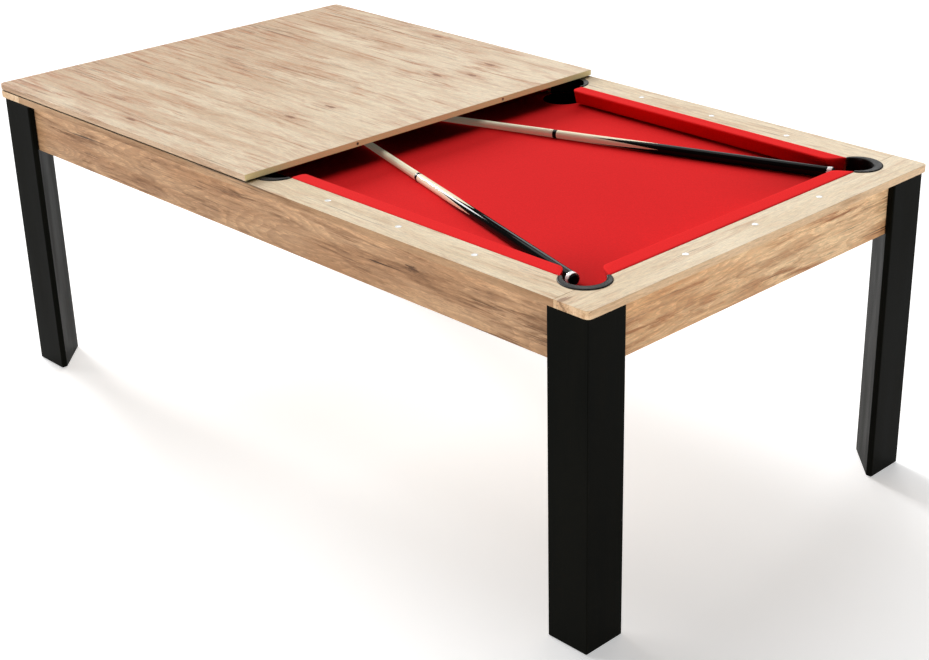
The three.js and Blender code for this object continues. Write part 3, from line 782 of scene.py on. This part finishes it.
def cushion_section(deep, low, high):
    """Section points (distance from the back, height), round the nose, counter-clockwise."""
    top = high + CROWN
    nose = Vector((deep - NOSE_RADIUS, top - NOSE_RADIUS))
    foot = Vector((deep - UNDERCUT, low + 1.2 * MM))
    under = arc(nose, NOSE_RADIUS, *NOSE_SWEEP, NOSE_STEPS)
    path = [Vector((0, low + 0.6 * MM)), Vector((0.6 * MM, low))]
    path += [Vector((foot.x * share, low)) for share in SOLE_SHARES]
    path += [Vector((foot.x - 1.2 * MM, low)), Vector((foot.x - 0.3 * MM, low + 0.3 * MM)), foot]
    path += [foot.lerp(under[0], share) for share in FACE_SHARES]
    path += under
    path += [under[-1].lerp(Vector((2.4 * MM, top)), share) for share in TOP_SHARES]
    path += [Vector((1.2 * MM, high + 0.6 * CROWN)), Vector((0.3 * MM, high))]
    return path + [Vector((0, high - 1.0 * MM))]


def make_cushion(name, material):
    low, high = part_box("cushion_" + name)
    lengthwise = "end" not in name
    across, along = ("y", "x") if lengthwise else ("x", "y")
    sign = 1 if getattr(high + low, across) > 0 else -1
    outer = getattr(high, across) if sign > 0 else getattr(low, across)
    deep = getattr(high, across) - getattr(low, across) + (LONG_NOSE if lengthwise else END_NOSE)
    start, end = getattr(low, along), getattr(high, along)
    section = cushion_section(deep, low.z, high.z)
    centre = sum(section, Vector((0, 0))) / len(section)

    def end_offset(limit, other, distance, height):
        """How far inside the box the end lies, at that distance from the back and height."""
        at_corner = abs(limit) > abs(other) or not lengthwise
        back, nose = CORNER_END if at_corner else SIDE_END
        turn = min(max(distance - deep + NOSE_CORNER, 0.0), NOSE_CORNER)
        bend = NOSE_CORNER - math.sqrt(NOSE_CORNER**2 - turn**2)
        return back + (nose - back) * distance / deep + bend + END_LEAN * (high.z - height)

    def ring(t, inset, shift):
        """The section at t of the length, drawn in by inset and moved in from the end by shift."""
        loop = []
        for p in section:
            pulled = p + (centre - p).normalized() * min(inset, (centre - p).length)
            first = start + end_offset(start, end, pulled.x, pulled.y) + shift
            last = end - end_offset(end, start, pulled.x, pulled.y) - shift
            at = first + (last - first) * t
            wave = noise.noise(Vector((at * 9, pulled.x * 30, sign * 3.1))) * WAVE
            rise = wave if pulled.y > low.z + WAVE_ABOVE else 0.0
            height = min(pulled.y + rise, high.z + CROWN + 0.2 * MM)
            side = sign * (abs(outer) - pulled.x)
            loop.append((at, side, height) if lengthwise else (side, at, height))
        return loop

    edge = END_EDGE_RADIUS
    turns = [(edge * (1 - math.sin(a)), edge * (1 - math.cos(a))) for a in END_EDGE_ANGLES]
    rings = [ring(0, inset, shift) for inset, shift in turns]
    count = max(2, round((end - start) / CUSHION_STEP))
    rings += [ring(i / count, 0.0, edge) for i in range(1, count)]
    rings += [ring(1, inset, shift) for inset, shift in turns[::-1]]
    points, faces = loft(rings)
    made = piece("cushion_cloth_" + name, points, faces, material, "table", "cloth",
                 ["cushion_" + name], sharp=50)


# ---- Felt strips under the dining top ----------------------------------------------------------
FELT_RINGS = 90
FELT_SIDES = 20
FELT_SQUARENESS = 0.25  # power that squares off the round section
FELT_MARGIN = 0.3 * MM
FELT_FUZZ = (-0.15, 0.05)


def make_felt(side, material):
    low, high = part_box("felt_strip_" + side)
    random.seed(len(side))
    middle, half = (low + high) / 2, (high - low) / 2
    rings = []
    for i in range(FELT_RINGS + 1):
        x = low.x + (high.x - low.x) * i / FELT_RINGS
        tight = 1.0 if 0 < i < FELT_RINGS else 0.9
        loop = []
        for k in range(FELT_SIDES):
            angle = math.tau * k / FELT_SIDES
            round_section = (math.cos(angle), math.sin(angle))
            flat = [math.copysign(abs(f) ** FELT_SQUARENESS, f) for f in round_section]
            fuzz = random.uniform(*FELT_FUZZ) * MM
            y = middle.y + (half.y - FELT_MARGIN + fuzz) * flat[0] * tight
            z = middle.z + (half.z + min(fuzz, 0)) * flat[1] * tight
            loop.append((x, y, z))
        rings.append(loop)
    points, faces = loft(rings)
    name = "felt_strip_" + side
    made = piece("felt_" + side, points, faces, material, "dining_top", "felt", [name])


# ---- Sights: small white discs let into the rails ----------------------------------------------
SIGHT_RADIUS = 7.4 * MM
SIGHT_RISE = 0.8 * MM
SIGHT_DEPTH = 1 * MM
SIGHT_SIDES = 24
SIGHT_INSET = 54 * MM  # from the table's outer edge
SIGHTS_ALONG = (233.25 * MM, 466.5 * MM, 699.75 * MM)
SIGHTS_ACROSS = (-230 * MM, 0.0, 230 * MM)


def make_sights(material):
    low, high = cad_bounds
    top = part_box("long_rail_back")[1].z
    angles = (0.2, 0.5, 0.8, 1.1, 1.35)
    dome = [(math.cos(a) * SIGHT_RADIUS, math.sin(a) * SIGHT_RISE) for a in angles]
    side = [(0, -SIGHT_DEPTH), (SIGHT_RADIUS, -SIGHT_DEPTH), (SIGHT_RADIUS, 0)]
    dot_points, dot_faces = turned([*side, *dome, (0, SIGHT_RISE)], SIGHT_SIDES)
    rows = {
        "back": [(s * x, high.y - SIGHT_INSET) for x in SIGHTS_ALONG for s in (-1, 1)],
        "front": [(s * x, low.y + SIGHT_INSET) for x in SIGHTS_ALONG for s in (-1, 1)],
        "right": [(high.x - SIGHT_INSET, y) for y in SIGHTS_ACROSS],
        "left": [(low.x + SIGHT_INSET, y) for y in SIGHTS_ACROSS],
    }
    for name, spots in rows.items():
        dots = [([p + Vector((x, y, top)) for p in dot_points], dot_faces) for x, y in spots]
        points, faces = together(*dots)
        piece("sights_" + name, points, faces, material, "table", "white_plastic")


# ---- Cues --------------------------------------------------------------------------------------
CUE_SIDES = 48
POINT_TIPS = 623 * MM  # from the butt's end to the tips of the black points
POINT_BASE = 440 * MM
PIN_RADIUS = 4 * MM
BORE_RADIUS = 4.3 * MM
BORE_SPARE = 2 * MM  # between the pin's end and the bottom of its bore
JOINT_GAP = 0.3 * MM  # at each side of the joint collar
BUMPER_RADIUS = 11.6 * MM
BUMPER_ROUND = 1.6 * MM


def cue_frame(cue):
    """The matrix of a frame with its origin at the cue's butt and Z along the cue."""
    def centre(node):
        spots = {tuple(round(c, 6) for c in v.co) for v in NODES[node].data.vertices}
        return sum((Vector(p) for p in spots), Vector()) / len(spots)

    start, end = centre(cue + "_bumper"), centre(cue + "_tip")
    along = (end - start).normalized()
    bumper = NODES[cue + "_bumper"].data.vertices
    origin = start + along * min((v.co - start).dot(along) for v in bumper)
    side = UP.cross(along).normalized()
    turn = Matrix((side, along.cross(side), along)).transposed()
    return Matrix.Translation(origin) @ turn.to_4x4()


def cue_span(node, place):
    """(start, end, radius at start, radius at end) of a turned CAD node, along its cue."""
    local = [place.inverted() @ v.co for v in NODES[node].data.vertices]
    start, end = min(p.z for p in local), max(p.z for p in local)
    outer = [max(p.xy.length for p in local if abs(p.z - z) < 0.5 * MM) for z in (start, end)]
    return start, end, *outer


def stick(start, end, first, last, ease=0.35 * MM):
    """A tapered length with eased ends."""
    corners = [(0, start, 0), (first, start, ease), (last, end, ease), (0, end, 0)]
    return turned(rounded(corners, 3), CUE_SIDES)


def bumper_shape(start, end):
    face, lip = BUMPER_RADIUS - 3 * MM, BUMPER_RADIUS - 0.4 * MM
    return turned(rounded([
        (0, start, 0), (face, start, BUMPER_ROUND), (lip, start + 2.2 * MM, BUMPER_ROUND),
        (BUMPER_RADIUS, end, 0), (0, end, 0)]), CUE_SIDES)


def collar_shape(start, end, wide, thin, pin_end):
    """The dark collar at a butt's end, with the pin that goes into the shaft."""
    return turned(rounded([
        (0, start, 0), (wide, start, 0.4 * MM), (thin, end, 0.4 * MM),
        (PIN_RADIUS, end, 0), (PIN_RADIUS, pin_end, 0.8 * MM), (0, pin_end, 0)]), CUE_SIDES)


def shaft_shape(start, end, wide, thin, bore_end):
    """A shaft with a bore for the pin."""
    return turned(rounded([
        (0, bore_end, 0), (BORE_RADIUS, bore_end, 0), (BORE_RADIUS, start, 0.3 * MM),
        (wide, start, 0.4 * MM), (thin, end, 0.3 * MM), (0, end, 0)]), CUE_SIDES)


def tip_shape(start, end, radius):
    return turned(rounded([
        (0, start, 0), (radius, start, 0.3 * MM), (radius, end - 5 * MM, 1.5 * MM),
        (radius * 0.72, end - 1.4 * MM, 2.0 * MM), (0, end, 0)]), CUE_SIDES)


def make_cue(cue, finish):
    place = cue_frame(cue)
    butt, shaft = cue + "_butt", cue + "_shaft"

    def part(node, shape, material, body, slot):
        name = f"{cue}_{node}"
        piece(name + "_fine", *shape, finish[material], body, slot, [name], place, sharp=32)

    start, end, _, _ = cue_span(cue + "_bumper", place)
    part("bumper", bumper_shape(start, end), "rubber", butt, "black_rubber")
    part("butt_ring", stick(*cue_span(cue + "_butt_ring", place)), "white", butt, "white_plastic")
    span = cue_span(butt, place)
    butt_end, butt_wide = span[1], span[3]
    part("butt", stick(*span), "points", butt, "maple")
    pin_end = cue_span(cue + "_joint_collar", place)[1]
    start, end, wide, thin = cue_span(shaft, place)
    collar = collar_shape(butt_end + JOINT_GAP, start - JOINT_GAP, butt_wide, wide, pin_end)
    part("joint_collar", collar, "ring", butt, "black_rubber")
    part("shaft", shaft_shape(start, end, wide, thin, pin_end + BORE_SPARE), "maple", shaft, "maple")
    part("ferrule", stick(*cue_span(cue + "_ferrule", place)), "white", shaft, "white_plastic")
    start, end, radius, _ = cue_span(cue + "_tip", place)
    part("tip", tip_shape(start, end, radius), "leather", shaft, "cue_leather")


# ---- CAD nodes that stay, with eased edges -----------------------------------------------------
WELD_WITHIN = 0.01 * MM
FLAT_WITHIN = math.radians(0.5)
EASED_ABOVE = math.radians(40)
FACE_WEIGHT = 90


def ease(names, material, width, segments=2):
    for name in names:
        obj = NODES[name]
        obj.material_slots[0].material = material
        weld = obj.modifiers.new("weld", "WELD")
        weld.merge_threshold = WELD_WITHIN
        flat = obj.modifiers.new("flat", "DECIMATE")
        flat.decimate_type = "DISSOLVE"
        flat.angle_limit = FLAT_WITHIN
        bevel = obj.modifiers.new("ease", "BEVEL")
        bevel.width = width
        bevel.segments = segments
        bevel.limit_method = "ANGLE"
        bevel.angle_limit = EASED_ABOVE
        bevel.miter_outer = "MITER_ARC"
        shade = obj.modifiers.new("shade", "WEIGHTED_NORMAL")
        shade.weight = FACE_WEIGHT
        obj.data.shade_smooth()


# ---- Studio ------------------------------------------------------------------------------------
WORLD_LIGHT = 0.02
FLOOR_HALF = 40
DOME_RADIUS = 38
DOME_RINGS, DOME_SIDES = 12, 48
WHITE = (1.0, 1.0, 1.0, 1.0)
FLOOR_GLOW = 0.50  # the floor is a softly lit panel, so the shadows on it stay pale
SUNS = {  # direction towards the light, what it adds to a face square to it, angular size
    "low_left": ((-0.93, 0.12, 0.34), 1.06, 20),
    "back": ((-0.45, 0.72, 0.52), 0.32, 36),
    "overhead": ((-0.50, 0.05, 0.85), 0.45, 46),
    "front_fill": ((-0.05, -1.0, 0.0035), 0.28, 0.4),
    "right_fill": ((1.0, -0.25, 0.0035), 0.265, 0.4),
}


def stage_piece(name, points, faces, material):
    mesh = bpy.data.meshes.new(name)
    mesh.from_pydata([tuple(p) for p in points], [], faces)
    mesh.materials.append(material)
    obj = bpy.data.objects.new(name, mesh)
    bpy.context.scene.collection.objects.link(obj)
    return obj


def make_world():
    world = bpy.data.worlds.new("studio")
    bpy.context.scene.world = world
    world.use_nodes = True
    backdrop = world.node_tree.nodes["Background"]
    backdrop.inputs["Color"].default_value = WHITE
    backdrop.inputs["Strength"].default_value = WORLD_LIGHT


def make_suns():
    for name, (towards, level, softness) in SUNS.items():
        data = bpy.data.lights.new(name, "SUN")
        data.energy = level * math.pi
        data.angle = math.radians(softness)
        light = bpy.data.objects.new(name, data)
        bpy.context.scene.collection.objects.link(light)
        light.rotation_euler = Vector(towards).to_track_quat("Z", "Y").to_euler()


def make_floor():
    floor = Paint("studio_floor", Roughness=0.9)
    cloud = floor.noise(0.6, detail=2)
    floor.set("Base Color", floor.mix(cloud, linear(238, 238, 238), linear(230, 230, 230)))
    floor.set("Emission Color", WHITE)
    floor.set("Emission Strength", FLOOR_GLOW)
    size = FLOOR_HALF
    corners = [(-size, -size, 0), (size, -size, 0), (size, size, 0), (-size, size, 0)]
    stage_piece("floor", corners, [(0, 1, 2, 3)], floor.material)


def make_dome():
    """A pale dome that is seen behind the table, and neither lights it nor shades it."""
    glow = Paint("studio_dome", Roughness=1.0)
    glow.set("Base Color", (0.0, 0.0, 0.0, 1.0))
    glow.set("Emission Color", WHITE)
    glow.set("Emission Strength", 1.0)
    glow.material.cycles.emission_sampling = "NONE"
    quarter = [math.pi / 2 * i / DOME_RINGS for i in range(DOME_RINGS + 1)]
    profile = [(DOME_RADIUS * math.cos(a), DOME_RADIUS * math.sin(a)) for a in quarter]
    dome = stage_piece("dome", *turned(profile, DOME_SIDES), glow.material)
    dome.visible_diffuse = dome.visible_glossy = False
    dome.visible_transmission = dome.visible_shadow = False


# ---- Making it all -----------------------------------------------------------------------------
bpy.context.scene.view_settings.view_transform = "Standard"
make_camera()
make_world()
make_suns()
make_floor()
make_dome()

black_plastic = moulded("black_plastic_skin", linear(15, 16, 15), linear(26, 27, 25), 0.42)
cup_plastic = moulded("pocket_cup_skin", linear(9, 9, 9), linear(15, 15, 15), 0.55)
for pocket in POCKETS:
    make_rim(pocket, black_plastic)
    make_cup(pocket, cup_plastic)

# Shaded and lit copies of one baize: the bed's cloth is painted darker as painted shade, the cushions'
# cloth lighter as painted light.
make_bed_cloth(baize("red_baize_bed_shaded", linear(220, 28, 30), linear(238, 38, 40), corner_shade=0.6))
lit_red_cloth = baize("red_baize_cushions_lit", linear(234, 34, 35), linear(250, 44, 45))
for cushion in ("front_right", "front_left", "back_left", "back_right", "end_right", "end_left"):
    make_cushion(cushion, lit_red_cloth)

grey_felt = felt("grey_felt")
make_felt("back", grey_felt)
make_felt("front", grey_felt)

white = glossy("white_plastic_gloss", linear(254, 254, 252), linear(248, 248, 245), 0.25)
make_sights(white)

cue_finish = {
    "rubber": moulded("bumper_rubber", linear(18, 19, 19), linear(30, 31, 31), 0.5),
    "ring": moulded("joint_ring", linear(14, 15, 15), linear(22, 23, 23), 0.3),
    "white": white,
    "maple": maple("clear_maple"),
    "points": spliced("spliced_maple", POINT_TIPS, POINT_BASE),
    "leather": chalked("chalked_leather"),
}
make_cue("cue_1", cue_finish)
make_cue("cue_2", cue_finish)

BOARD_EASE = 0.9 * MM
APRON_EASE = 0.6 * MM
BOARDS = {  # node: grain, palette, palette of its edges with painted shade, seed
    "long_rail_front": ("X", OAK_RAIL, LONG_EDGE, 3.1),
    "long_rail_back": ("X", OAK_RAIL, LONG_EDGE, 7.7),
    "end_rail_right": ("Y", OAK_RAIL, END_EDGE, 12.4),
    "end_rail_left": ("Y", OAK_RAIL, END_EDGE, 17.9),
}
for node, (along, palette, edge, seed) in BOARDS.items():
    grain = {"seed": seed, "warm": 0.65, "rings": 0.15, "cracks": 0.6}
    ease([node], oak("oak_" + node, along, palette, edge, **grain), BOARD_EASE)
top_grain = {"seed": 23.3, "warm": 0.9, "rings": 0.25, "cracks": 0.6, "drift": 0.16}
dining_oak = oak("oak_dining_top", "X", OAK_TOP, TOP_EDGE, panel=True, **top_grain)
ease(["dining_top"], dining_oak, BOARD_EASE)
APRONS = {  # side: grain, palette, seed
    "front": ("X", OAK_APRON_SHADED, 31.0),
    "back": ("X", OAK_APRON_SHADED, 38.2),
    "right": ("Y", OAK_APRON_LIT, 44.6),
    "left": ("Y", OAK_APRON_LIT, 51.3),
}
for side, (along, palette, seed) in APRONS.items():
    grain = {"seed": seed, "warm": 0.95, "rings": 0.5, "cracks": 0.85}
    ease(["apron_" + side], oak("oak_apron_" + side, along, palette, **grain), APRON_EASE)

CORNERS = ("back_right", "back_left", "front_left", "front_right")
ease(["leg_" + corner for corner in CORNERS], lacquer("black_satin"), 1.5 * MM, segments=3)
ease(["foot_" + corner for corner in CORNERS], black_plastic, 0.6 * MM)
ease(["bracket_" + corner for corner in CORNERS], zinc("zinc_plate"), 0.4 * MM)
ease(["bed_board", "cross_beam_right", "cross_beam_left"], fibreboard("raw_board"), 0.5 * MM)
